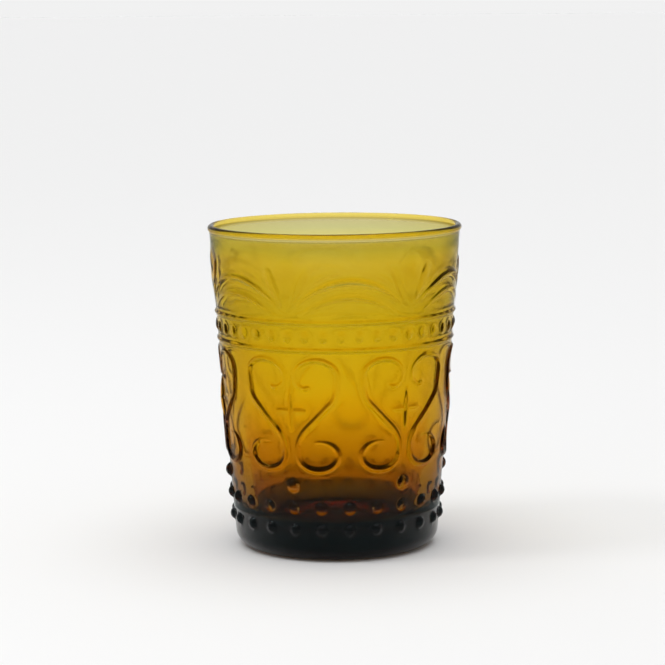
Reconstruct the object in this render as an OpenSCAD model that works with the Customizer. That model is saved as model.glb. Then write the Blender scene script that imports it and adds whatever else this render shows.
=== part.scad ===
// Pressed-glass water tumbler with a heart and palmette relief, in millimetres.
// The axis is Z, the table is Z = 0 and one heart faces -Y.

/* [Body] */
// Outside diameter across the lip
rim_d = 80; // [76:1:88]
// Outside diameter of the tapered wall carried down to the table
foot_d = 63.8; // [60:0.2:70]
// Overall height
height = 102; // [98:1:112]
// Radius of the rounded lip
lip_r = 1.1; // [1:0.05:1.4]
// How far the lip stands out past the tapered wall
lip_proud = 0.4; // [0.2:0.05:0.6]

/* [Base] */
// Thickness of the base in the middle
floor_h = 8.8; // [7.6:0.2:11]
// Radius of the curve between the inside floor and the inside wall
inside_r = 7; // [5:0.5:12]
// Wall thickness where the inside curve begins
foot_wall = 6.6; // [5:0.1:7.6]
// Radius of the outside bottom edge
edge_r = 5.3; // [3:0.1:6]
// Diameter of the shallow hollow under the base
punt_d = 44; // [36:1:48]
// Depth of the shallow hollow under the base
punt_h = 0.8; // [0.4:0.1:1.4]

/* [Foot beads] */
// Diameter of a foot bead
bead_d = 4.2; // [3.4:0.1:5]
// How far a foot bead stands out of the wall
bead_proud = 1.3; // [1:0.1:1.8]
// Height of the lowest row of beads
bead_z = 10.2; // [9:0.2:11.4]
// Distance from one row of beads up to the next
bead_pitch = 7.1; // [6:0.1:8]

/* [Hearts] */
// Number of hearts round the glass
repeats = 6; // [5:1:7]
// Width of a scroll rib
scroll_w = 2.1; // [1.6:0.1:2.6]
// Height of a scroll rib above the wall
scroll_h = 0.8; // [0.6:0.05:1.2]
// Diameter of the ball at each end of a scroll
ball_d = 2.9; // [2.4:0.1:3.4]
// Room between the drop bead row and the lowest scroll line
heart_foot_gap = 4.5; // [4:0.1:6]
// Room between the highest scroll line and the lower ring
heart_top_gap = 3; // [2.5:0.1:5]
// Width of a fleuron leaf
fleuron_w = 2.2; // [1.6:0.1:2.6]
// Height of a fleuron leaf above the wall
fleuron_h = 0.8; // [0.5:0.05:1]

/* [Middle band] */
// Distance from the lower ring up to the upper ring
band_h = 8.4; // [7.6:0.1:10]
// Radius of a ring's round section
ring_r = 0.9; // [0.7:0.05:1.1]
// How far a ring stands out of the wall
ring_proud = 0.6; // [0.4:0.05:0.8]
// Width of an oval bead
oval_w = 3.6; // [2.8:0.1:4]
// Height of an oval bead
oval_h = 4.8; // [4:0.1:5.2]
// How far an oval bead stands out of the wall
oval_proud = 0.7; // [0.5:0.05:0.9]

/* [Top frieze] */
// Distance from the upper ring up to the tips of the palmettes
frieze_h = 19.5; // [18:0.5:21]
// Plain height between the tips of the palmettes and the top of the lip
plain_h = 7.5; // [6:0.5:10]
// Width of an upper arch rib
upper_arch_w = 2.7; // [2:0.1:3]
// Width of a lower arch rib
lower_arch_w = 2.2; // [1.6:0.1:2.4]
// Height of the arch ribs above the wall
arch_h = 0.7; // [0.5:0.05:1]
// Width of a palmette's centre leaf
centre_leaf_w = 8; // [6:0.1:8.4]
// Width of a palmette's side leaf
side_leaf_w = 4; // [3:0.1:4.4]
// Width of a palmette's outer leaf
outer_leaf_w = 2.4; // [1.8:0.1:2.8]
// Height of the palmette leaves above the wall
leaf_h = 0.7; // [0.5:0.05:1]

/* [Hidden] */
$fn = 96;

AMBER = [0.80, 0.57, 0.07];
DARK_AMBER = [0.34, 0.19, 0.04];

// Beads of the middle band and of each foot row that stand over one heart
ovals_per_heart = 7;
beads_per_heart = 4;
// Hairline left under a raised rib or leaf, so that its flat facets never cut the round wall
seat_gap = 0.03;
// Height above the inside floor at which the base ends and the wall begins
seam_rise = 2;
// Height of the lip zone in lip radii
lip_zone = 2.4;
// Spacing of the sections along a rib
rib_step = 1.9;
// Chords across a raised crown, and the widest chord across its foot
CROWN_CHORDS = 4;
FOOT_CHORD = 3;
// Small overshoot for cuts
eps = 0.01;

// The tapered outside of the wall
rim_r = rim_d / 2;
wall_slope = (rim_r - lip_proud - foot_d / 2) / height;
wall_lean = atan(wall_slope);
function wall_r(z) = foot_d / 2 + wall_slope * z;

// The tapered inside of the wall, from the lip down to the start of the inside curve
lip_z = height - lip_r;
lip_centre_r = rim_r - lip_r;
inside_curve_z = floor_h + inside_r;
inside_top_r = rim_r - 2 * lip_r;
inside_foot_r = wall_r(inside_curve_z) - foot_wall;
inside_slope = (inside_top_r - inside_foot_r) / (lip_z - inside_curve_z);
inside_lean = atan(inside_slope);
function inside_wall_r(z) = inside_foot_r + inside_slope * (z - inside_curve_z);

// Centre of a round corner of radius r whose lowest point is at z, touching a leaning line
function corner_centre(line_r, slope, lean, r) = line_r + slope * r - r / cos(lean);
edge_centre_r = corner_centre(foot_d / 2, wall_slope, wall_lean, edge_r);
inside_centre_r = corner_centre(inside_wall_r(floor_h), inside_slope, inside_lean, inside_r);

// Heights of the zones, from the table up and from the rim down
seam_z = floor_h + seam_rise;
lip_seam_z = height - lip_zone * lip_r;
drop_z = bead_z + 2 * bead_pitch;
palmette_tip_z = height - plain_h;
upper_ring_z = palmette_tip_z - frieze_h;
lower_ring_z = upper_ring_z - band_h;
heart_z = drop_z + heart_foot_gap;
heart_h = lower_ring_z - heart_top_gap - heart_z;

// Half the angle that one heart takes up
half_repeat = 180 / repeats;

// A heart's right scroll, in shares of half the repeat across and of the heart's height up.
// The ends, the stem and the two curls follow the photographed rib.
HOOK = [[0.36, 0.765], [0.25, 0.745]];
UPPER_CURL = [[0.445, 0.85], [0.35, 0.15]];
UPPER_CURL_SWEEP = [205, -10];
STEM = [[0.745, 0.66], [0.595, 0.56], [0.41, 0.455], [0.225, 0.35], [0.12, 0.24]];
LOWER_CURL = [[0.473, 0.14], [0.353, 0.141]];
LOWER_CURL_SWEEP = [185, 468];
LOWER_CURL_SHRINK = 0.12;
CURL_STEPS = 10;
SPLINE_CHORDS = 4;
// Sections through the ball at the end of a scroll, in shares of its diameter
BALL_STATIONS = [0.03, 0.15, 0.5, 0.85];

// The fleuron's centre, as shares of the heart's height, and the reach of its arms
FLEURON_Z = 0.54;
FLEURON_REACH = [0.3, 0.175];
FLEURON_ROOT = 0.1;
FLEURON_WIDEST = 0.4;

// Arches, in shares of half the repeat across and of the frieze's height up: foot, then crown
UPPER_ARCH = [[0.17, 0.28], [1, 0.62]];
LOWER_ARCH = [[0.25, 0.11], [1, 0.39]];
ARCH_CHORDS = 12;
// Share of an arch's length over which each foot tapers, and the share of its size left at the end
ARCH_TAPER = 0.2;
ARCH_END = 0.4;

// Palmette leaves, in the same shares: root, bend and tip
CENTRE_LEAF = [[0, 0.2], [0, 0.6], [0, 1]];
SIDE_LEAF = [[0.08, 0.28], [0.22, 0.6], [0.44, 0.92]];
OUTER_LEAF = [[0.17, 0.38], [0.4, 0.74], [0.84, 0.8]];
LEAF_CHORDS = 16;
// Where each kind of leaf is widest along its length, and its share of that width at the root
CENTRE_WIDEST = 0.75;
SIDE_WIDEST = 0.7;
OUTER_WIDEST = 0.5;
LEAF_ROOT = 0.2;
// Sections along a leaf, in shares of its length
LEAF_STATIONS = [0, 0.15, 0.3, 0.45, 0.6, 0.72, 0.84, 0.93, 0.98];

// A point on the outside of the wall, turned from the front and lifted off the wall
function on_wall(turn, z, lift) =
    let (r = wall_r(z) + lift)
    [r * sin(turn), -r * cos(turn), z];

// Smooth curve through points, with a number of chords for each gap
function spline_point(a, b, c, d, t) =
    0.5 * (
        2 * b + (c - a) * t + (2 * a - 5 * b + 4 * c - d) * t * t
        + (3 * b - a - 3 * c + d) * t * t * t
    );
function spline(points, cuts) =
    let (last = len(points) - 1)
    concat(
        [for (i = [0:last - 1], k = [0:cuts - 1])
            spline_point(points[max(i - 1, 0)], points[i], points[i + 1], points[min(i + 2, last)], k / cuts)],
        [points[last]]
    );

// Part of an ellipse that may draw in along the way
function curl(ellipse, sweep, shrink) =
    [for (i = [0:CURL_STEPS])
        let (
            t = i / CURL_STEPS,
            a = sweep[0] + (sweep[1] - sweep[0]) * t,
            size = 1 - shrink * t
        )
        ellipse[0] + size * [ellipse[1].x * cos(a), ellipse[1].y * sin(a)]];

// Distance along the wall between two places given as turn and height
function wall_gap(p, q) =
    norm([(q.x - p.x) * wall_r((p.y + q.y) / 2) * PI / 180, q.y - p.y]);
function running_length(path) =
    [for (i = 0, s = 0; i < len(path); s = s + wall_gap(path[i], path[min(i + 1, len(path) - 1)]), i = i + 1) s];

// Places along a path at chosen distances from its start
function stations(path, distances) =
    let (
        s = running_length(path),
        turns = [for (i = [0:len(path) - 1]) [s[i], path[i].x]],
        heights = [for (i = [0:len(path) - 1]) [s[i], path[i].y]]
    )
    [for (d = distances) [lookup(d, turns), lookup(d, heights)]];

// Direction across a path on the wall, as millimetres round and up
function across(path, i) =
    let (
        p = path[max(i - 1, 0)],
        q = path[min(i + 1, len(path) - 1)],
        run = [(q.x - p.x) * wall_r(path[i].y) * PI / 180, q.y - p.y],
        n = norm(run)
    )
    [run.y / n, -run.x / n];

// Raised band along a path on the wall: a round crown over a foot that follows the wall.
// widths and heights are lists, one for each place on the path.
// The foot has enough chords across to stay on the round wall.
module raised(path, widths, heights) {
    places = len(path);
    foot_chords = ceil(max(widths) / FOOT_CHORD);
    section = concat(
        [for (j = [0:CROWN_CHORDS]) [-cos(180 * j / CROWN_CHORDS), sin(180 * j / CROWN_CHORDS)]],
        [for (j = [1:1:foot_chords - 1]) [1 - 2 * j / foot_chords, 0]]
    );
    ring = len(section);
    points = [for (i = [0:places - 1])
        let (side = across(path, i))
        for (s = section)
            let (
                z = path[i].y + side.y * s.x * widths[i] / 2,
                turn = path[i].x + side.x * s.x * widths[i] / 2 / wall_r(z) * 180 / PI
            )
            on_wall(turn, z, seat_gap + s.y * heights[i])];
    sides = [for (i = [0:places - 2], j = [0:ring - 1])
        let (
            a = i * ring + j,
            b = i * ring + (j + 1) % ring
        )
        each [[a, a + ring, b], [b, a + ring, b + ring]]];
    first = [for (j = [1:ring - 2]) [0, j, j + 1]];
    top = (places - 1) * ring;
    last = [for (j = [1:ring - 2]) [top, top + j + 1, top + j]];
    polyhedron(points, concat(first, sides, last));
}

// Copies round the glass, the first one turned by start
module round_glass(count, start = 0) {
    for (i = [0:count - 1])
        rotate(start + i * 360 / count) children();
}

// Solid cone inside the wall's outside face
module wall_envelope() {
    cylinder(h = height, r1 = wall_r(0), r2 = wall_r(height), $fn = 360);
}

// Half section of the whole glass
module outside_section() {
    polygon([
        [0, 0], [edge_centre_r, 0], [edge_centre_r, edge_r],
        [edge_centre_r + edge_r * cos(wall_lean), edge_r - edge_r * sin(wall_lean)],
        [wall_r(lip_z), lip_z], [0, lip_z]
    ]);
    translate([edge_centre_r, edge_r]) circle(edge_r);
    translate([lip_centre_r, lip_z]) circle(lip_r);
}

module inside_section() {
    polygon([
        [0, floor_h], [inside_centre_r, floor_h], [inside_centre_r, inside_curve_z],
        [inside_centre_r + inside_r * cos(inside_lean), inside_curve_z - inside_r * sin(inside_lean)],
        [inside_top_r, lip_z], [0, lip_z]
    ]);
    translate([inside_centre_r, inside_curve_z]) circle(inside_r);
}

module punt_section() {
    punt_r = (punt_d * punt_d / 4 + punt_h * punt_h) / (2 * punt_h);
    translate([0, punt_h - punt_r]) circle(punt_r, $fn = 360);
}

// One zone of the pressing, cut from the half section between two heights
module zone(low, high) {
    rotate_extrude()
        intersection() {
            difference() {
                outside_section();
                inside_section();
                punt_section();
            }
            translate([0, low]) square([rim_d, high - low]);
        }
}

module base() {
    color(DARK_AMBER) zone(0, seam_z);
}

module wall() {
    color(AMBER) zone(seam_z, lip_seam_z);
}

module lip() {
    color(AMBER) zone(lip_seam_z, height);
}

module ring(z) {
    color(AMBER)
        rotate_extrude()
            difference() {
                translate([wall_r(z) - ring_r + ring_proud, z]) circle(ring_r, $fn = 48);
                polygon([[0, 0], [wall_r(0), 0], [wall_r(height), height], [0, height]]);
            }
}

module upper_ring() {
    ring(upper_ring_z);
}

module lower_ring() {
    ring(lower_ring_z);
}

// Upright oval bead, pressed out of the wall in the middle of the band
module band_beads() {
    z = (upper_ring_z + lower_ring_z) / 2;
    half_arc = [for (a = [-90:15:90]) [oval_w / 2 * cos(a), oval_h / 2 * sin(a)]];
    color(AMBER)
        round_glass(repeats * ovals_per_heart)
            difference() {
                translate([0, -wall_r(z) + oval_w / 2 - oval_proud, z])
                    rotate_extrude($fn = 64) polygon(half_arc);
                wall_envelope();
            }
}

module bead_row(count, z) {
    color(DARK_AMBER)
        round_glass(count)
            difference() {
                translate([0, -wall_r(z) + bead_d / 2 - bead_proud, z]) sphere(d = bead_d, $fn = 48);
                wall_envelope();
            }
}

module drop_beads() {
    bead_row(repeats, drop_z);
}

module upper_foot_beads() {
    bead_row(repeats * beads_per_heart, bead_z + bead_pitch);
}

module lower_foot_beads() {
    bead_row(repeats * beads_per_heart, bead_z);
}

// A place in the heart or the frieze, from shares to turn and height
function heart_place(share) = [share.x * half_repeat, heart_z + share.y * heart_h];
function frieze_place(share) = [share.x * half_repeat, upper_ring_z + share.y * frieze_h];
function mirrored(path, side) = [for (p = path) [side * p.x, p.y]];

// Half width of a scroll at a distance from its nearer end: the ball, then the even rib
function ball_half_width(d) = d < ball_d ? sqrt(max(d * (ball_d - d), eps)) : 0;
function scroll_width(d) = 2 * max(ball_half_width(d), d > ball_d / 2 ? scroll_w / 2 : eps);

// One scroll of a heart: hook, upper curl, stem and lower curl; side is 1 for right and -1 for left
module heart_scroll(side) {
    shares = concat(
        HOOK, curl(UPPER_CURL, UPPER_CURL_SWEEP, 0), STEM,
        curl(LOWER_CURL, LOWER_CURL_SWEEP, LOWER_CURL_SHRINK)
    );
    line = [for (s = spline(shares, SPLINE_CHORDS)) heart_place(s)];
    total = running_length(line)[len(line) - 1];
    steps = round((total - 2 * ball_d) / rib_step);
    distances = concat(
        [for (b = BALL_STATIONS) b * ball_d],
        [for (i = [0:steps]) ball_d + (total - 2 * ball_d) * i / steps],
        [for (i = [len(BALL_STATIONS) - 1:-1:0]) total - BALL_STATIONS[i] * ball_d]
    );
    path = mirrored(stations(line, distances), side);
    widths = [for (d = distances) scroll_width(min(d, total - d))];
    heights = [for (w = widths) min(w / 2, scroll_h)];
    raised(path, widths, heights);
}

module left_heart_scrolls() {
    color(AMBER) round_glass(repeats) heart_scroll(-1);
}

module right_heart_scrolls() {
    color(AMBER) round_glass(repeats) heart_scroll(1);
}

// Leaf along a path: swells from its root to its widest place and closes in a round tip
function leaf_share(t, widest) =
    t < widest
        ? LEAF_ROOT + (1 - LEAF_ROOT) * sin(90 * t / widest)
        : sqrt(max(1 - pow((t - widest) / (1 - widest), 2), 0));

module leaf(line, width, lift, widest) {
    total = running_length(line)[len(line) - 1];
    path = stations(line, total * LEAF_STATIONS);
    widths = [for (t = LEAF_STATIONS) width * leaf_share(t, widest)];
    heights = [for (t = LEAF_STATIONS) lift * leaf_share(t, widest)];
    raised(path, widths, heights);
}

// Four slim leaves round the middle of a heart
module heart_fleurons() {
    arms = [[1, 0], [-1, 0], [0, 1], [0, -1]];
    color(AMBER)
        round_glass(repeats)
            for (arm = arms) {
                reach = [arm.x * FLEURON_REACH.x, arm.y * FLEURON_REACH.y];
                line = [for (t = [FLEURON_ROOT:0.1:1]) heart_place([0, FLEURON_Z] + reach * t)];
                leaf(line, fleuron_w, fleuron_h, FLEURON_WIDEST);
            }
}

// Ribbed arch that springs between two palmettes
module arch(shares, width) {
    span = shares[1].x - shares[0].x;
    rise = shares[1].y - shares[0].y;
    line = [for (i = [-ARCH_CHORDS:ARCH_CHORDS])
        let (t = i / ARCH_CHORDS)
        frieze_place([shares[1].x + t * span, shares[1].y - rise * t * t])];
    total = running_length(line)[len(line) - 1];
    steps = round(total / rib_step);
    path = stations(line, [for (i = [0:steps]) total * i / steps]);
    taper = [for (i = [0:steps])
        let (from_foot = min(i, steps - i) / steps)
        ARCH_END + (1 - ARCH_END) * min(1, from_foot / ARCH_TAPER)];
    raised(path, width * taper, arch_h * taper);
}

module upper_arches() {
    color(AMBER) round_glass(repeats) arch(UPPER_ARCH, upper_arch_w);
}

module lower_arches() {
    color(AMBER) round_glass(repeats) arch(LOWER_ARCH, lower_arch_w);
}

// Bent middle line of a palmette leaf
function leaf_line(shares) =
    [for (i = [0:LEAF_CHORDS])
        let (t = i / LEAF_CHORDS)
        frieze_place((1 - t) * (1 - t) * shares[0] + 2 * t * (1 - t) * shares[1] + t * t * shares[2])];

module palmette_centre_leaves() {
    color(AMBER)
        round_glass(repeats) leaf(leaf_line(CENTRE_LEAF), centre_leaf_w, leaf_h, CENTRE_WIDEST);
}

module palmette_side_leaves() {
    color(AMBER)
        round_glass(repeats)
            for (side = [-1, 1])
                leaf(mirrored(leaf_line(SIDE_LEAF), side), side_leaf_w, leaf_h, SIDE_WIDEST);
}

module palmette_outer_leaves() {
    color(AMBER)
        round_glass(repeats)
            for (side = [-1, 1])
                leaf(mirrored(leaf_line(OUTER_LEAF), side), outer_leaf_w, leaf_h, OUTER_WIDEST);
}

base();
wall();
lip();
upper_ring();
lower_ring();
band_beads();
upper_arches();
lower_arches();
palmette_centre_leaves();
palmette_side_leaves();
palmette_outer_leaves();
left_heart_scrolls();
right_heart_scrolls();
heart_fleurons();
drop_beads();
upper_foot_beads();
lower_foot_beads();
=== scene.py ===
# Amber pressed-glass tumbler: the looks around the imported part, in metres, with the axis on +Z.
import math

import bmesh
import bpy
import numpy as np
from mathutils import Matrix, Vector
from mathutils.geometry import delaunay_2d_cdt


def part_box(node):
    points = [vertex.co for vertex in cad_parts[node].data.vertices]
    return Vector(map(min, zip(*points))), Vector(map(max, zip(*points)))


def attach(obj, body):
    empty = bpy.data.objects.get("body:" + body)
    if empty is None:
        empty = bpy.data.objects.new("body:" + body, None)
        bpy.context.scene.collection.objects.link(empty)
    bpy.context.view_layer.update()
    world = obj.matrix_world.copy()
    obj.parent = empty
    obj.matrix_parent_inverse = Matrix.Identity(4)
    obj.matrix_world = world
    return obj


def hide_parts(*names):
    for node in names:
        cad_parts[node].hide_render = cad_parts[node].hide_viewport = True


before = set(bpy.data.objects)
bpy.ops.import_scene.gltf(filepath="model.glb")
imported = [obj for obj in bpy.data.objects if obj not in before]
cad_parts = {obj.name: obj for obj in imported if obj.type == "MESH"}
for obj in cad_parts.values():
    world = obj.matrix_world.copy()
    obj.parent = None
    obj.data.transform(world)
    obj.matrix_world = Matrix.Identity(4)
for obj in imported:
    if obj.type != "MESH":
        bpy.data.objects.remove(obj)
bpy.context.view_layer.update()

MM = 0.001


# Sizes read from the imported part. The pattern is drawn in millimetres and degrees of turn.
def box_mm(node):
    low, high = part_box(node)
    return [v / MM for v in low], [v / MM for v in high]


def middle_z(node):
    low, high = box_mm(node)
    return (low[2] + high[2]) / 2


RIM_R = box_mm("lip")[1][0]
HEIGHT = box_mm("lip")[1][2]
SEAM_R, _, SEAM_Z = box_mm("base")[1]
WALL_TOP_R, _, WALL_TOP_Z = box_mm("wall")[1]
WALL_SLOPE = (WALL_TOP_R - SEAM_R) / (WALL_TOP_Z - SEAM_Z)
WALL_LEAN = math.atan(WALL_SLOPE)

# Base, lip and inside of the glass
LIP_R = 1.1
LIP_BLEND = 3.6
# The lip's round starts this many degrees below level
LIP_START = 35
EDGE_R = 5.3
PUNT_R = 22.0
PUNT_H = 0.8
# Rows round the hollow underneath: added radius and height outside its edge, then shares of its radius
PUNT_EDGE = ((1.6, 0), (0.6, 0.01))
PUNT_ROWS = (0.985, 0.9, 0.75, 0.6, 0.45, 0.3, 0.15, 0)
FLOOR_H = 8.8
INSIDE_R = 7.0
FOOT_WALL = 6.6
FLOOR_ROWS = (0.75, 0.5, 0.25, 0)
# Steps of the half section's arcs and straight stretches
EDGE_STEPS = 10
BLEND_STEPS = 6
LIP_STEPS = 18
INSIDE_STEPS = 25
CURVE_STEPS = 18

# Raised ornament: half widths and heights above the wall
REPEATS = 6
HALF_REPEAT = 180 / REPEATS
SCROLL_HALF = 1.3
SCROLL_H = 0.92
BALL_HALF = 1.6
# Both curls grow from a share of the rib's size over a share of its length
UPPER_END = 0.62
UPPER_TAPER = 0.34
LOWER_END = 0.36
LOWER_TAPER = 0.11
RING_HALF = 1.1
RING_H = 0.55
OVAL_HALF = (1.35, 1.85)
OVAL_H = 0.6
BEAD_HALF = 2.0
BEAD_H = 1.4
DROP_HALF = 2.3
DROP_H = 1.6
UPPER_ARCH_HALF = 1.5
LOWER_ARCH_HALF = 1.4
UPPER_ARCH_H = 0.76
LOWER_ARCH_H = 0.48
# An arch grows from a share of the rib's size at its foot over a share of its length
ARCH_FOOT = 0.3
ARCH_TAPER = 0.6
CENTRE_LEAF_HALF = 4.0
SIDE_LEAF_HALF = 1.8
OUTER_LEAF_HALF = 1.4
LEAF_H = 0.55
OUTER_LEAF_H = 0.2
FLEURON_HALF = 1.2
FLEURON_H = 1.15
FLEURON_SIDE_H = 0.44
# A leaf is widest at this share of its length, and its root is a share of that width
LEAF_ROOT = 0.2
CENTRE_LEAF_WIDEST = 0.75
SIDE_LEAF_WIDEST = 0.6
OUTER_LEAF_WIDEST = 0.5
FLEURON_SIDE_LEAF = (0.4, 0.6)
FLEURON_UPRIGHT_LEAF = (0.55, 0.25)
# Two leaves have firm edges instead of a rib's soft ones, and a higher power gives a flatter back
CENTRE_LEAF_POWER = 2
SIDE_LEAF_POWER = 3
LEAF_REACH = 3
# Beside a soft rib its own height goes on falling at this slope
RIB_FALL = 0.5
OVALS_PER_HEART = 7
BEADS_PER_HEART = 4
# Points deeper than this under the outside, above the floor, belong to the inner face
INNER_GAP = 1.2
# Width of the soft join between the ornament and the wall
SOFT_JOIN = 0.2

# Heights of the bands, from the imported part
PACKED_SCROLL_HALF = 1.05
HEART_LOW = box_mm("right_heart_scrolls")[0][2] + PACKED_SCROLL_HALF
HEART_HIGH = box_mm("right_heart_scrolls")[1][2] - PACKED_SCROLL_HALF
UPPER_RING_Z = middle_z("upper_ring")
LOWER_RING_Z = middle_z("lower_ring")
BAND_Z = (UPPER_RING_Z + LOWER_RING_Z) / 2
# The palmettes reach this far above the upper ring
FRIEZE_H = 19.5

# A heart's right scroll, in shares of half the repeat across and of the heart's height up.
# A curl has a centre, two radii, a sweep in degrees and the share by which it closes in.
HOOK = [(0.36, 0.765), (0.25, 0.745)]
UPPER_CURL = ((0.445, 0.85), (0.35, 0.15), (205, -10), 0)
STEM = [(0.745, 0.66), (0.595, 0.56), (0.41, 0.455), (0.225, 0.35), (0.12, 0.24)]
LOWER_CURL = ((0.473, 0.14), (0.353, 0.141), (185, 468), 0.12)
CURL_STEPS = 10
FLEURON_Z = 0.54
FLEURON_REACH = (0.28, 0.19)
FLEURON_ROOT = 0.06
FLEURON_STEPS = 12

# Arches and palmette leaves, in shares of half the repeat across and of the frieze's height up.
# An arch has a foot and a crown, past which it runs on, and a leaf has the three points of a bend.
UPPER_ARCH = ((0.17, 0.28), (1, 0.66))
LOWER_ARCH = ((0.25, 0.11), (1, 0.41))
ARCH_OVERRUN = 0.3
CENTRE_LEAF = ((0, 0.2), (0, 0.6), (0, 1))
SIDE_LEAF = ((0.06, 0.26), (0.2, 0.54), (0.33, 0.87))
OUTER_LEAF = ((0.17, 0.38), (0.4, 0.74), (0.84, 0.8))

# The unrolled sheet of one mould segment: half a repeat wide
SHEET_LOW = 5.6
SHEET_HIGH = 96.6
COLUMNS = 15
EDGE_STEP = 0.45
RIB_STEP = 0.6
OPEN_STEP = 1.2
OPEN_ROW_STEP = OPEN_STEP * 0.87
NET_CELL = 0.3
# Least distance between points, and from the sheet's edge, along the ornament and on the open wall
NEAREST = 0.14
EDGE_MARGIN = 0.12
OPEN_NEAREST = 0.62
OPEN_MARGIN = 0.4
# Rows of points across a rib, in shares of its half width, and more of them round a bead
FLANKS = (0, 0.35, 0.65, 0.88, 1.0, 1.18)
BEAD_FLANKS = FLANKS[1:] + (0.96, 1.08)
BEAD_RING_LEAST = 6
BEAD_RING_MORE = 12
LEAST_HALF = 0.05
LEAST_STEPS = 6
SAME_POINT = 1e-7
# The rings run on past both edges of the sheet by this many degrees
RING_OVERRUN = 4
RING_POINTS = 60


def wall_r(z):
    return SEAM_R + WALL_SLOPE * (z - SEAM_Z)


# Millimetres across the sheet for one degree of turn
MEAN_R = wall_r((SHEET_LOW + SHEET_HIGH) / 2)
TURN_MM = math.radians(1) * MEAN_R


# Lines of the ornament
def spline(points, cuts=6):
    p = np.array(points, float)
    last = len(p) - 1
    out = []
    for i in range(last):
        a, b, c, d = p[max(i - 1, 0)], p[i], p[i + 1], p[min(i + 2, last)]
        for t in np.arange(cuts) / cuts:
            out.append(0.5 * (2 * b + (c - a) * t + (2 * a - 5 * b + 4 * c - d) * t**2
                              + (3 * b - a - 3 * c + d) * t**3))
    return np.array(out + [p[last]])


def curl(centre, radii, sweep, shrink):
    out = []
    for t in np.linspace(0, 1, CURL_STEPS + 1):
        a = math.radians(sweep[0] + (sweep[1] - sweep[0]) * t)
        size = 1 - shrink * t
        out.append((centre[0] + size * radii[0] * math.cos(a), centre[1] + size * radii[1] * math.sin(a)))
    return out


def heart_place(shares):
    s = np.array(shares, float)
    return np.column_stack([s[:, 0] * HALF_REPEAT, HEART_LOW + s[:, 1] * (HEART_HIGH - HEART_LOW)])


def frieze_place(shares):
    s = np.array(shares, float)
    return np.column_stack([s[:, 0] * HALF_REPEAT, UPPER_RING_Z + s[:, 1] * FRIEZE_H])


def bend(points, count=24):
    a, b, c = (np.array(p, float) for p in points)
    t = np.linspace(0, 1, count + 1)[:, None]
    return (1 - t) ** 2 * a + 2 * t * (1 - t) * b + t**2 * c


def arch_line(ends, count=40):
    (foot_x, foot_y), (crown_x, crown_y) = ends
    t = np.linspace(-1, ARCH_OVERRUN, count + 1)
    return np.column_stack([crown_x + t * (crown_x - foot_x), crown_y - (crown_y - foot_y) * t**2])


def soft_max(a, b, join):
    return np.maximum(a, b) + np.maximum(join - np.abs(a - b), 0) ** 2 / (4 * join)


class RaisedLine:
    """A raised line on the unrolled wall, with its half width and height along the way."""

    def __init__(self, line, half, height, ends=None, power=0, flatter=1):
        xy = np.column_stack([line[:, 0] * TURN_MM, line[:, 1]])
        run = np.concatenate([[0], np.cumsum(np.hypot(*np.diff(xy, axis=0).T))])
        count = max(int(run[-1] / RIB_STEP), LEAST_STEPS)
        self.run = np.linspace(0, run[-1], count + 1)
        self.xy = np.column_stack([np.interp(self.run, run, xy[:, k]) for k in (0, 1)])
        share = np.ones(count + 1) if ends is None else ends(self.run, run[-1])
        self.half = np.maximum(half * share, LEAST_HALF)
        self.height = height * np.minimum(share, 1) ** flatter
        self.power = power

    def raw_height(self, xy):
        a, b = self.xy[:-1], self.xy[1:]
        step = b - a
        t = np.einsum("pk,sk->ps", xy, step) - np.sum(a * step, axis=1)
        t = np.clip(t / np.sum(step * step, axis=1), 0, 1)
        gap = np.hypot(xy[:, :1] - a[:, 0] - t * step[:, 0], xy[:, 1:] - a[:, 1] - t * step[:, 1])
        nearest = np.argmin(gap, axis=1)
        rows = np.arange(len(xy))
        d, t = gap[rows, nearest], t[rows, nearest]
        half = self.half[nearest] * (1 - t) + self.half[nearest + 1] * t
        height = self.height[nearest] * (1 - t) + self.height[nearest + 1] * t
        if self.power:
            return height * (1 - np.minimum(d / half, LEAF_REACH) ** self.power)
        return bell(d, half, height)

    def samples(self):
        ahead = np.gradient(self.xy, axis=0)
        ahead /= np.hypot(*ahead.T)[:, None]
        side = np.column_stack([-ahead[:, 1], ahead[:, 0]])
        out = []
        for flank in FLANKS:
            for sign in ((1, -1) if flank else (1,)):
                out.append(self.xy + side * (sign * flank * self.half)[:, None])
        return np.concatenate(out)


def bell(d, half, height):
    return height * (1 + np.cos(np.pi * np.minimum(d / half, 1))) / 2 - RIB_FALL * np.maximum(d - half, 0)


def round_cap(d, half, height):
    radius = (half**2 + height**2) / (2 * height)
    inside = np.sqrt(radius**2 - np.minimum(d, half) ** 2) - (radius - height)
    steep = half / (radius - height)
    return inside - np.maximum(d - half, 0) * steep


class RaisedBead:
    """A round or oval bead on the unrolled wall."""

    def __init__(self, turn, z, half, height):
        self.centre = np.array([turn * TURN_MM, z])
        self.half = np.array(half, float)
        self.height = height

    def raw_height(self, xy):
        size = self.half.mean()
        d = np.hypot(*((xy - self.centre) / self.half).T) * size
        return round_cap(d, size, self.height)

    def samples(self):
        out = [self.centre[None, :]]
        for flank in BEAD_FLANKS:
            count = int(BEAD_RING_LEAST + BEAD_RING_MORE * flank)
            a = np.arange(count) * 2 * np.pi / count
            out.append(self.centre + flank * self.half * np.column_stack([np.sin(a), np.cos(a)]))
        return np.concatenate(out)


def ball_ends(run, total):
    """Even rib that ends in a round ball: shares of the rib's half width."""
    d = np.minimum(run, total - run)
    ball = np.sqrt(np.maximum(d * (2 * BALL_HALF - d), 0)) / SCROLL_HALF
    even = np.where(d < BALL_HALF, ball, np.maximum(ball * (d < 2 * BALL_HALF), 1))
    for end, taper, gone in ((UPPER_END, UPPER_TAPER, run), (LOWER_END, LOWER_TAPER, total - run)):
        t = np.minimum(gone / (taper * total), 1)
        even = even * (end + (1 - end) * t * t * (3 - 2 * t))
    return even


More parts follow.
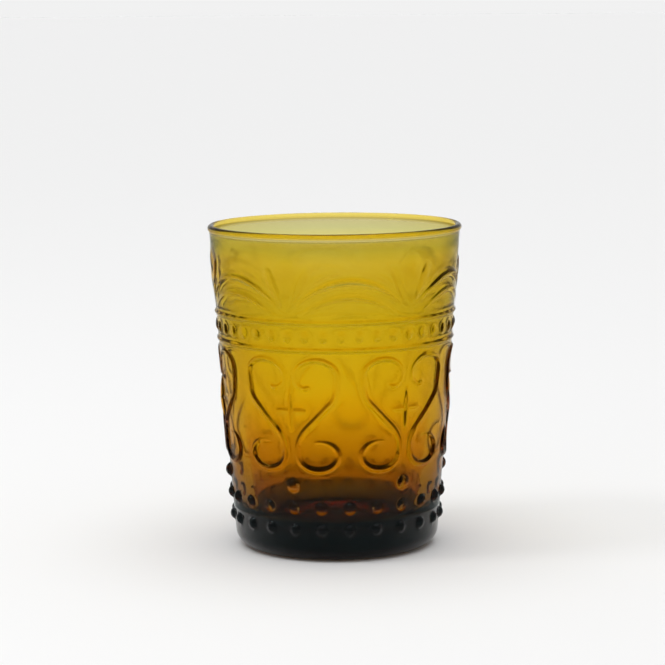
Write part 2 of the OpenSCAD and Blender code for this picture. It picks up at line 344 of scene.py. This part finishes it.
def tapered_foot(run, total):
    t = np.minimum(run / (ARCH_TAPER * total), 1)
    return ARCH_FOOT + (1 - ARCH_FOOT) * t * t * (3 - 2 * t)


def leaf_shape(widest, root=LEAF_ROOT):
    def shares(run, total):
        t = run / total
        swell = root + (1 - root) * np.sin(np.pi / 2 * np.minimum(t / widest, 1))
        close = np.sqrt(np.maximum(1 - (np.maximum(t - widest, 0) / (1 - widest)) ** 2, 0))
        return swell * close
    return shares


def ornament():
    """All raised lines and beads that reach into one mould segment."""
    scroll = spline(HOOK + curl(*UPPER_CURL) + STEM + curl(*LOWER_CURL))
    parts = [RaisedLine(heart_place(scroll), SCROLL_HALF, SCROLL_H, ball_ends, flatter=2)]
    t = np.linspace(FLEURON_ROOT, 1, FLEURON_STEPS)
    side_arm = np.column_stack([FLEURON_REACH[0] * t, np.full(FLEURON_STEPS, FLEURON_Z)])
    side_leaf = leaf_shape(*FLEURON_SIDE_LEAF)
    parts.append(RaisedLine(heart_place(side_arm), FLEURON_HALF, FLEURON_SIDE_H, side_leaf))
    t = np.linspace(1, -1, 2 * FLEURON_STEPS)
    upright = np.column_stack([0 * t, FLEURON_Z + FLEURON_REACH[1] * t])
    upright_leaf = leaf_shape(*FLEURON_UPRIGHT_LEAF)
    parts.append(RaisedLine(heart_place(upright), FLEURON_HALF, FLEURON_H, upright_leaf))
    parts.append(RaisedLine(frieze_place(arch_line(UPPER_ARCH)), UPPER_ARCH_HALF, UPPER_ARCH_H, tapered_foot))
    parts.append(RaisedLine(frieze_place(arch_line(LOWER_ARCH)), LOWER_ARCH_HALF, LOWER_ARCH_H, tapered_foot))
    parts.append(RaisedLine(frieze_place(bend(CENTRE_LEAF)), CENTRE_LEAF_HALF, LEAF_H,
                            leaf_shape(CENTRE_LEAF_WIDEST), CENTRE_LEAF_POWER))
    parts.append(RaisedLine(frieze_place(bend(SIDE_LEAF)), SIDE_LEAF_HALF, LEAF_H,
                            leaf_shape(SIDE_LEAF_WIDEST), SIDE_LEAF_POWER))
    parts.append(RaisedLine(frieze_place(bend(OUTER_LEAF)), OUTER_LEAF_HALF, OUTER_LEAF_H,
                            leaf_shape(OUTER_LEAF_WIDEST)))
    across = np.linspace(-RING_OVERRUN, HALF_REPEAT + RING_OVERRUN, RING_POINTS)
    for z in (LOWER_RING_Z, UPPER_RING_Z):
        parts.append(RaisedLine(np.column_stack([across, np.full(RING_POINTS, z)]), RING_HALF, RING_H))
    for i in range(OVALS_PER_HEART // 2 + 2):
        parts.append(RaisedBead(i * 2 * HALF_REPEAT / OVALS_PER_HEART, BAND_Z, OVAL_HALF, OVAL_H))
    for node in ("upper_foot_beads", "lower_foot_beads"):
        for i in range(BEADS_PER_HEART // 2 + 1):
            turn = i * 2 * HALF_REPEAT / BEADS_PER_HEART
            parts.append(RaisedBead(turn, middle_z(node), (BEAD_HALF, BEAD_HALF), BEAD_H))
    parts.append(RaisedBead(0, middle_z("drop_beads"), (DROP_HALF, DROP_HALF), DROP_H))
    return parts


class PointNet:
    """Points on the sheet that keep a least distance from each other."""

    def __init__(self, cell):
        self.cell = cell
        self.cells = {}
        self.points = []

    def add(self, candidates, least):
        reach = int(math.ceil(least / self.cell))
        for x, y in candidates:
            i, j = int(math.floor(x / self.cell)), int(math.floor(y / self.cell))
            near = [q for a in range(i - reach, i + reach + 1) for b in range(j - reach, j + reach + 1)
                    for q in self.cells.get((a, b), ())]
            if all((q[0] - x) ** 2 + (q[1] - y) ** 2 >= least**2 for q in near):
                self.cells.setdefault((i, j), []).append((x, y))
                self.points.append((x, y))


def sheet_points(parts):
    """Points of the unrolled sheet: its edges, then along the ornament, then the open wall."""
    width = HALF_REPEAT * TURN_MM
    rows = np.linspace(SHEET_LOW, SHEET_HIGH, int((SHEET_HIGH - SHEET_LOW) / EDGE_STEP) + 1)
    columns = np.linspace(0, width, COLUMNS + 1)
    net = PointNet(NET_CELL)
    edge = [(x, z) for z in (SHEET_LOW, SHEET_HIGH) for x in columns]
    edge += [(x, z) for x in (0.0, width) for z in rows[1:-1]]
    net.add(edge, 0)

    def inside(points, margin):
        x, z = points.T
        keep = (x > margin) & (x < width - margin) & (z > SHEET_LOW + margin) & (z < SHEET_HIGH - margin)
        return points[keep]

    for part in parts:
        net.add(inside(part.samples(), EDGE_MARGIN), NEAREST)
    open_columns = np.arange(0, width, OPEN_STEP)
    open_rows = np.arange(SHEET_LOW, SHEET_HIGH, OPEN_ROW_STEP)
    grid = [(x + (k % 2) * OPEN_STEP / 2, z) for k, z in enumerate(open_rows) for x in open_columns]
    net.add(inside(np.array(grid), OPEN_MARGIN), OPEN_NEAREST)
    return np.array(net.points)


def sheet():
    """The unrolled relief sheet as rows of turn, radius and height, with its triangles."""
    parts = ornament()
    points = sheet_points(parts)
    relief = np.zeros(len(points))
    for part in parts:
        relief = soft_max(relief, part.raw_height(points), SOFT_JOIN)
    relief[(points[:, 1] <= SHEET_LOW) | (points[:, 1] >= SHEET_HIGH)] = 0
    found = delaunay_2d_cdt([Vector(p) for p in points], [], [], 0, SAME_POINT)
    places = np.array([tuple(v) for v in found[0]])
    order = [ids[0] for ids in found[3]]
    lift = relief[order]
    turn = places[:, 0] / TURN_MM
    radius = wall_r(places[:, 1]) + lift
    return np.column_stack([np.radians(turn), radius, places[:, 1]]), [tuple(f) for f in found[2]]


# Half section of the plain parts of the glass
def arc(centre, radius, start, stop, steps):
    angles = np.radians(np.linspace(start, stop, steps + 1))
    return [(centre[0] + radius * math.cos(a), centre[1] + radius * math.sin(a)) for a in angles]


def under_section():
    """From the lower edge of the sheet round the bottom edge to the middle of the hollow underneath."""
    lean = math.degrees(WALL_LEAN)
    centre_r = wall_r(EDGE_R) - EDGE_R / math.cos(WALL_LEAN)
    rows = [(wall_r(SHEET_LOW), SHEET_LOW)]
    rows += arc((centre_r, EDGE_R), EDGE_R, -lean, -90, EDGE_STEPS)
    rows += [(PUNT_R + r, z) for r, z in PUNT_EDGE]
    rows += [(PUNT_R * s, PUNT_H * (1 - s * s)) for s in PUNT_ROWS]
    return rows


def over_section():
    """From the upper edge of the sheet over the lip and down the inside to the middle of the floor."""
    lip_centre = (RIM_R - LIP_R, HEIGHT - LIP_R)
    blend_low = (wall_r(HEIGHT - LIP_BLEND), HEIGHT - LIP_BLEND)
    bead = arc(lip_centre, LIP_R, -LIP_START, 180, LIP_STEPS)
    rise = bead[0][1] - blend_low[1]
    bead_lean = math.tan(math.radians(LIP_START))
    rows = [(wall_r(SHEET_HIGH), SHEET_HIGH), blend_low]
    for t in np.linspace(0, 1, BLEND_STEPS + 1)[1:-1]:
        h00, h10 = 2 * t**3 - 3 * t**2 + 1, t**3 - 2 * t**2 + t
        h01, h11 = 3 * t**2 - 2 * t**3, t**3 - t**2
        r = h00 * blend_low[0] + h10 * rise * WALL_SLOPE + h01 * bead[0][0] + h11 * rise * bead_lean
        rows.append((r, blend_low[1] + t * rise))
    rows += bead
    top_r, top_z = RIM_R - 2 * LIP_R, HEIGHT - LIP_R
    curve_z = FLOOR_H + INSIDE_R
    foot_r = wall_r(curve_z) - FOOT_WALL
    slope = (top_r - foot_r) / (top_z - curve_z)
    lean = math.atan(slope)
    centre_r = foot_r - INSIDE_R / math.cos(lean)
    curve = arc((centre_r, curve_z), INSIDE_R, -math.degrees(lean), -90, CURVE_STEPS)
    for t in np.linspace(0, 1, INSIDE_STEPS + 1)[1:-1]:
        z = top_z + t * (curve[0][1] - top_z)
        rows.append((foot_r + slope * (z - curve_z), z))
    rows += curve
    rows += [(centre_r * s, FLOOR_H) for s in FLOOR_ROWS]
    return rows


def turned_strip(rows, start):
    """Plain rows of the half section swept across the segment; the last row is the axis."""
    turns = np.radians(np.linspace(0, HALF_REPEAT, COLUMNS + 1))
    verts, faces = [], []
    for r, z in rows[:-1]:
        verts += [(t, r, z) for t in turns]
    verts.append((turns[COLUMNS // 2], 0, rows[-1][1]))
    width = COLUMNS + 1
    for i in range(len(rows) - 2):
        for j in range(COLUMNS):
            a = start + i * width + j
            faces.append((a, a + 1, a + width + 1, a + width))
    last, tip = start + (len(rows) - 2) * width, start + len(verts) - 1
    faces += [(last + j, last + j + 1, tip) for j in range(COLUMNS)]
    return verts, faces


def mould_segment():
    """Half a repeat of the whole glass, unrolled: X is the turn, Y the radius and Z the height."""
    places, faces = sheet()
    verts = [tuple(p) for p in places]
    for rows in (under_section(), over_section()):
        more, more_faces = turned_strip(rows, len(verts))
        verts += more
        faces += more_faces
    inner = [float(r < wall_r(z) - INNER_GAP and z > FLOOR_H - INNER_GAP) for _, r, z in verts]
    verts = [(t, r * MM, z * MM) for t, r, z in verts]
    mesh = bpy.data.meshes.new("mould_segment")
    mesh.from_pydata(verts, [], faces)
    mesh.attributes.new("inner_face", "FLOAT", "POINT").data.foreach_set("value", inner)
    return mesh


# Node tree that rolls the segment up, mirrors it and repeats it round the axis
def segment_tree(name):
    tree = bpy.data.node_groups.new(name, "GeometryNodeTree")
    face = tree.interface
    face.new_socket("Segment", in_out="INPUT", socket_type="NodeSocketGeometry")
    face.new_socket("Repeats", in_out="INPUT", socket_type="NodeSocketInt")
    face.new_socket("Weld Gap", in_out="INPUT", socket_type="NodeSocketFloat")
    face.new_socket("Glass", in_out="INPUT", socket_type="NodeSocketMaterial")
    face.new_socket("Pressing", in_out="OUTPUT", socket_type="NodeSocketGeometry")
    nodes, links = tree.nodes, tree.links

    def node(kind, **settings):
        made = nodes.new(kind)
        for key, value in settings.items():
            setattr(made, key, value)
        return made

    def math_node(operation, first, second=None):
        made = node("ShaderNodeMath", operation=operation)
        for socket, value in zip(made.inputs, (first, second)):
            if isinstance(value, (int, float)):
                socket.default_value = value
            elif value is not None:
                links.new(value, socket)
        return made.outputs[0]

    given = node("NodeGroupInput")
    place = node("ShaderNodeSeparateXYZ")
    links.new(node("GeometryNodeInputPosition").outputs[0], place.inputs[0])
    turn, radius, height = place.outputs
    rolled = node("ShaderNodeCombineXYZ")
    links.new(math_node("MULTIPLY", radius, math_node("SINE", turn)), rolled.inputs[0])
    back = math_node("MULTIPLY", radius, math_node("COSINE", turn))
    links.new(math_node("MULTIPLY", back, -1.0), rolled.inputs[1])
    links.new(height, rolled.inputs[2])
    roll = node("GeometryNodeSetPosition")
    links.new(given.outputs["Segment"], roll.inputs["Geometry"])
    links.new(rolled.outputs[0], roll.inputs["Position"])

    mirror = node("GeometryNodeTransform")
    mirror.inputs["Scale"].default_value = (-1, 1, 1)
    links.new(roll.outputs[0], mirror.inputs["Geometry"])
    flip = node("GeometryNodeFlipFaces")
    links.new(mirror.outputs[0], flip.inputs[0])
    pair = node("GeometryNodeJoinGeometry")
    links.new(roll.outputs[0], pair.inputs[0])
    links.new(flip.outputs[0], pair.inputs[0])

    spots = node("GeometryNodePoints")
    links.new(given.outputs["Repeats"], spots.inputs["Count"])
    step = math_node("DIVIDE", 2 * math.pi, given.outputs["Repeats"])
    angle = node("ShaderNodeCombineXYZ")
    links.new(math_node("MULTIPLY", node("GeometryNodeInputIndex").outputs[0], step), angle.inputs[2])
    around = node("GeometryNodeInstanceOnPoints")
    links.new(spots.outputs[0], around.inputs["Points"])
    links.new(pair.outputs[0], around.inputs["Instance"])
    links.new(angle.outputs[0], around.inputs["Rotation"])

    whole = node("GeometryNodeRealizeInstances")
    links.new(around.outputs[0], whole.inputs[0])
    weld = node("GeometryNodeMergeByDistance")
    links.new(whole.outputs[0], weld.inputs["Geometry"])
    links.new(given.outputs["Weld Gap"], weld.inputs["Distance"])
    smooth = node("GeometryNodeSetShadeSmooth")
    links.new(weld.outputs[0], smooth.inputs["Geometry"])
    finish = node("GeometryNodeSetMaterial")
    links.new(smooth.outputs[0], finish.inputs["Geometry"])
    links.new(given.outputs["Glass"], finish.inputs["Material"])
    links.new(finish.outputs[0], node("NodeGroupOutput").inputs[0])
    return tree


def run_tree(obj, tree, values):
    """Runs a node tree on an object and leaves its result as a plain mesh."""
    modifier = obj.modifiers.new(tree.name, "NODES")
    modifier.node_group = tree
    for item in tree.interface.items_tree:
        if item.in_out == "INPUT" and item.name in values:
            modifier[item.identifier] = values[item.name]
    bpy.context.view_layer.update()
    evaluated = obj.evaluated_get(bpy.context.evaluated_depsgraph_get())
    mesh = bpy.data.meshes.new_from_object(evaluated)
    obj.modifiers.remove(modifier)
    obj.data = mesh


# Materials
GLASS_INDEX = 1.52
# Tint of what the glass reflects
GLASS_SHEEN = (0.18, 0.25, 0.26, 1)
# Tint of the outer and the inner face by height in millimetres, painted shade and light: the near-black foot
# and brown lower wall are painted shade of a dark surface below the glass, and the stops up the amber wall to
# the golden rim set painted light levels
OUTER_PAINTED_SHADE = [(1, (0.03, 0.04, 0.044, 1)), (8, (0.024, 0.036, 0.04, 1)), (12.4, (0.05, 0.05, 0.05, 1)),
               (13.4, (0.3, 0.28, 0.21, 1)), (20, (0.46, 0.42, 0.32, 1)), (25, (0.6, 0.53, 0.38, 1)),
               (29.5, (0.76, 0.67, 0.45, 1)), (32.5, (0.97, 0.89, 0.52, 1)), (36, (1, 0.95, 0.64, 1)),
               (42, (1, 1, 0.9, 1)), (54, (1, 1, 1, 1)), (74, (0.88, 0.92, 0.8, 1)),
               (88, (0.85, 0.8, 0.64, 1)), (93, (0.88, 0.85, 1, 1)), (97, (0.53, 0.61, 1, 1)),
               (99.6, (0.52, 0.51, 0.85, 1)), (100.6, (0.87, 0.66, 0.27, 1)), (101.2, (1, 0.86, 0.5, 1))]
INNER_PAINTED_SHADE = [(10, (1, 0.6, 0.42, 1)), (15, (0.9, 0.42, 0.28, 1)), (18, (0.45, 0.27, 0.2, 1)),
               (20, (0.85, 0.5, 0.38, 1)), (21.8, (1, 0.7, 0.66, 1)), (27, (1, 0.71, 0.72, 1)),
               (36, (1, 0.77, 0.8, 1)), (44, (1, 0.92, 1, 1)), (56, (0.98, 0.91, 1, 1)),
               (66, (0.91, 0.84, 1, 1)), (82, (0.88, 0.79, 1, 1)), (90, (0.94, 0.85, 1, 1)),
               (95, (1, 0.96, 1, 1))]
OUTER_ROUGHNESS = 0.02
INNER_ROUGHNESS = 0.17
# The inner face is smoother low down, up to the first height, and rippled from the second one up
RIPPLE_RISE = (23, 31)
LOW_ROUGHNESS = 0.07
# A film of low index keeps the pale floor from hazing the glass; outside it fades out towards the foot
FILM_RISE = (12.8, 30)
FILM_NANOMETRES = 65
FILM_INDEX = 1.22
# What the depth of the glass takes away
DEPTH_COLOUR = (0.938, 0.865, 0.0, 1)
DEPTH_DENSITY = 670
FLOOR_COLOUR = (0.88, 0.88, 0.88, 1)
FLOOR_ROUGHNESS = 0.9
FLOOR_SHINE = 0.1


def amber_glass():
    """Clear amber glass, darkened towards the thick foot by painted shade, with a slightly rippled inner
    face.
    """
    material = bpy.data.materials.new("amber_glass")
    material.use_nodes = True
    nodes, links = material.node_tree.nodes, material.node_tree.links
    shader = nodes["Principled BSDF"]
    shader.inputs["IOR"].default_value = GLASS_INDEX
    shader.inputs["Transmission Weight"].default_value = 1
    shader.inputs["Specular Tint"].default_value = GLASS_SHEEN
    shader.inputs["Thin Film IOR"].default_value = FILM_INDEX
    place = nodes.new("ShaderNodeTexCoord")
    split = nodes.new("ShaderNodeSeparateXYZ")
    links.new(place.outputs["Object"], split.inputs[0])
    share = nodes.new("ShaderNodeMath")
    share.operation = "DIVIDE"
    links.new(split.outputs[2], share.inputs[0])
    share.inputs[1].default_value = HEIGHT * MM

    def ramp_by_height(painted_tints):
        ramp = nodes.new("ShaderNodeValToRGB")
        stops = ramp.color_ramp.elements
        for height, _ in painted_tints[2:]:
            stops.new(height / HEIGHT)
        for stop, (height, colour) in zip(stops, painted_tints):
            stop.position = height / HEIGHT
            stop.color = colour
        links.new(share.outputs[0], ramp.inputs[0])
        return ramp.outputs[0]

    def rise_by_height(heights, low, high):
        rise = nodes.new("ShaderNodeMapRange")
        rise.inputs["From Min"].default_value = heights[0] / HEIGHT
        rise.inputs["From Max"].default_value = heights[1] / HEIGHT
        rise.inputs["To Min"].default_value = low
        rise.inputs["To Max"].default_value = high
        links.new(share.outputs[0], rise.inputs["Value"])
        return rise.outputs[0]

    face = nodes.new("ShaderNodeAttribute")
    face.attribute_name = "inner_face"
    # Painted shade and light: the base colour is tinted by height, with one ramp for the outer face and one
    # for the inner face
    painted_tint = nodes.new("ShaderNodeMixRGB")
    links.new(face.outputs["Fac"], painted_tint.inputs[0])
    links.new(ramp_by_height(OUTER_PAINTED_SHADE), painted_tint.inputs[1])
    links.new(ramp_by_height(INNER_PAINTED_SHADE), painted_tint.inputs[2])
    links.new(painted_tint.outputs[0], shader.inputs["Base Color"])
    polish = nodes.new("ShaderNodeMapRange")
    polish.inputs["To Min"].default_value = OUTER_ROUGHNESS
    links.new(face.outputs["Fac"], polish.inputs["Value"])
    links.new(rise_by_height(RIPPLE_RISE, LOW_ROUGHNESS, INNER_ROUGHNESS), polish.inputs["To Max"])
    links.new(polish.outputs[0], shader.inputs["Roughness"])
    inside_film = nodes.new("ShaderNodeMath")
    inside_film.operation = "MULTIPLY"
    links.new(face.outputs["Fac"], inside_film.inputs[0])
    inside_film.inputs[1].default_value = FILM_NANOMETRES
    both_films = nodes.new("ShaderNodeMath")
    both_films.operation = "MAXIMUM"
    links.new(rise_by_height(FILM_RISE, 0, FILM_NANOMETRES), both_films.inputs[0])
    links.new(inside_film.outputs[0], both_films.inputs[1])
    links.new(both_films.outputs[0], shader.inputs["Thin Film Thickness"])
    depth = nodes.new("ShaderNodeVolumeAbsorption")
    depth.inputs["Color"].default_value = DEPTH_COLOUR
    depth.inputs["Density"].default_value = DEPTH_DENSITY
    links.new(depth.outputs[0], nodes["Material Output"].inputs["Volume"])
    return material


def pale_floor():
    material = bpy.data.materials.new("pale_floor")
    material.use_nodes = True
    shader = material.node_tree.nodes["Principled BSDF"]
    shader.inputs["Base Color"].default_value = FLOOR_COLOUR
    shader.inputs["Roughness"].default_value = FLOOR_ROUGHNESS
    shader.inputs["Specular IOR Level"].default_value = FLOOR_SHINE
    return material


# The glass: one continuous pressing that stands for every zone of the part
WELD_GAP = 0.02 * MM
glass = bpy.data.objects.new("tumbler_glass", mould_segment())
bpy.context.collection.objects.link(glass)
run_tree(glass, segment_tree("round_pressing"),
         {"Repeats": REPEATS, "Weld Gap": WELD_GAP, "Glass": amber_glass()})
shell = bmesh.new()
shell.from_mesh(glass.data)
bmesh.ops.recalc_face_normals(shell, faces=shell.faces)
shell.to_mesh(glass.data)
shell.free()
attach(glass, "root")
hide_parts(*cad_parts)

# Floor, a hair below the base
FLOOR_HALF = 60.0
FLOOR_Z = -0.02 * MM
floor_mesh = bpy.data.meshes.new("floor")
corners = [(-1, -1), (1, -1), (1, 1), (-1, 1)]
floor_mesh.from_pydata([(x * FLOOR_HALF, y * FLOOR_HALF, FLOOR_Z) for x, y in corners], [], [(0, 1, 2, 3)])
floor = bpy.data.objects.new("floor", floor_mesh)
floor.data.materials.append(pale_floor())
bpy.context.collection.objects.link(floor)

# World: a plain soft dome with a broad overhead softbox and a pale horizon, as levels by rise
SKY_PEAK = 2.3
SKY_STOPS = [(0.05, 0.88), (0.2, 0.5), (0.8, 0.5), (0.9, SKY_PEAK)]
world = bpy.data.worlds.new("studio_dome")
bpy.context.scene.world = world
world.use_nodes = True
sky, sky_links = world.node_tree.nodes, world.node_tree.links
direction = sky.new("ShaderNodeTexCoord")
split = sky.new("ShaderNodeSeparateXYZ")
sky_links.new(direction.outputs["Generated"], split.inputs[0])
ramp = sky.new("ShaderNodeValToRGB")
steps = ramp.color_ramp.elements
for rise, _ in SKY_STOPS[2:]:
    steps.new(rise)
for step, (rise, level) in zip(steps, SKY_STOPS):
    step.position = rise
    step.color = (level / SKY_PEAK, level / SKY_PEAK, level / SKY_PEAK, 1)
sky_links.new(split.outputs[2], ramp.inputs[0])
strength = sky.new("ShaderNodeMath")
strength.operation = "MULTIPLY"
strength.inputs[1].default_value = SKY_PEAK
sky_links.new(ramp.outputs[0], strength.inputs[0])
sky_links.new(strength.outputs[0], sky["Background"].inputs["Strength"])
sky["Background"].inputs["Color"].default_value = (1, 1, 1, 1)

# One soft lamp, high on the left
LAMP_SIZE = 0.25
LAMP_WATTS = 1.5
LAMP_PLACE = (-0.55, -0.45, 0.85)
LAMP_AIM = (0, 0, 0.05)
lamp_data = bpy.data.lights.new("soft_lamp", "AREA")
lamp_data.size = LAMP_SIZE
lamp_data.energy = LAMP_WATTS
lamp = bpy.data.objects.new("soft_lamp", lamp_data)
lamp.location = LAMP_PLACE
lamp.rotation_euler = (Vector(LAMP_AIM) - lamp.location).to_track_quat("-Z", "Y").to_euler()
bpy.context.collection.objects.link(lamp)

# Camera at the photograph's viewing angle, for a square picture
CAMERA_TURN = math.radians(23.09)
CAMERA_RISE = math.radians(7.78)
CAMERA_ROLL = math.radians(-0.5)
CAMERA_DISTANCE = 0.750
CAMERA_LENS = 128.22
SENSOR_WIDTH = 36
NEAR_CLIP = 0.01
CAMERA_ASIDE = -0.9 * MM
AIM_Z = 67.23 * MM
right = Vector((math.cos(CAMERA_TURN), math.sin(CAMERA_TURN), 0))
away = Vector((math.sin(CAMERA_TURN) * math.cos(CAMERA_RISE), -math.cos(CAMERA_TURN) * math.cos(CAMERA_RISE),
               math.sin(CAMERA_RISE)))
up = away.cross(right)
picture_right = right * math.cos(CAMERA_ROLL) + up * math.sin(CAMERA_ROLL)
picture_up = up * math.cos(CAMERA_ROLL) - right * math.sin(CAMERA_ROLL)
camera_data = bpy.data.cameras.new("camera")
camera_data.lens = CAMERA_LENS
camera_data.sensor_width = SENSOR_WIDTH
camera_data.clip_start = NEAR_CLIP
camera = bpy.data.objects.new("camera", camera_data)
turned = Matrix((picture_right, picture_up, away)).transposed().to_4x4()
turned.translation = right * CAMERA_ASIDE + Vector((0, 0, AIM_Z)) + away * CAMERA_DISTANCE
camera.matrix_world = turned
bpy.context.collection.objects.link(camera)
bpy.context.scene.camera = camera

bpy.context.scene.view_settings.view_transform = "Standard"
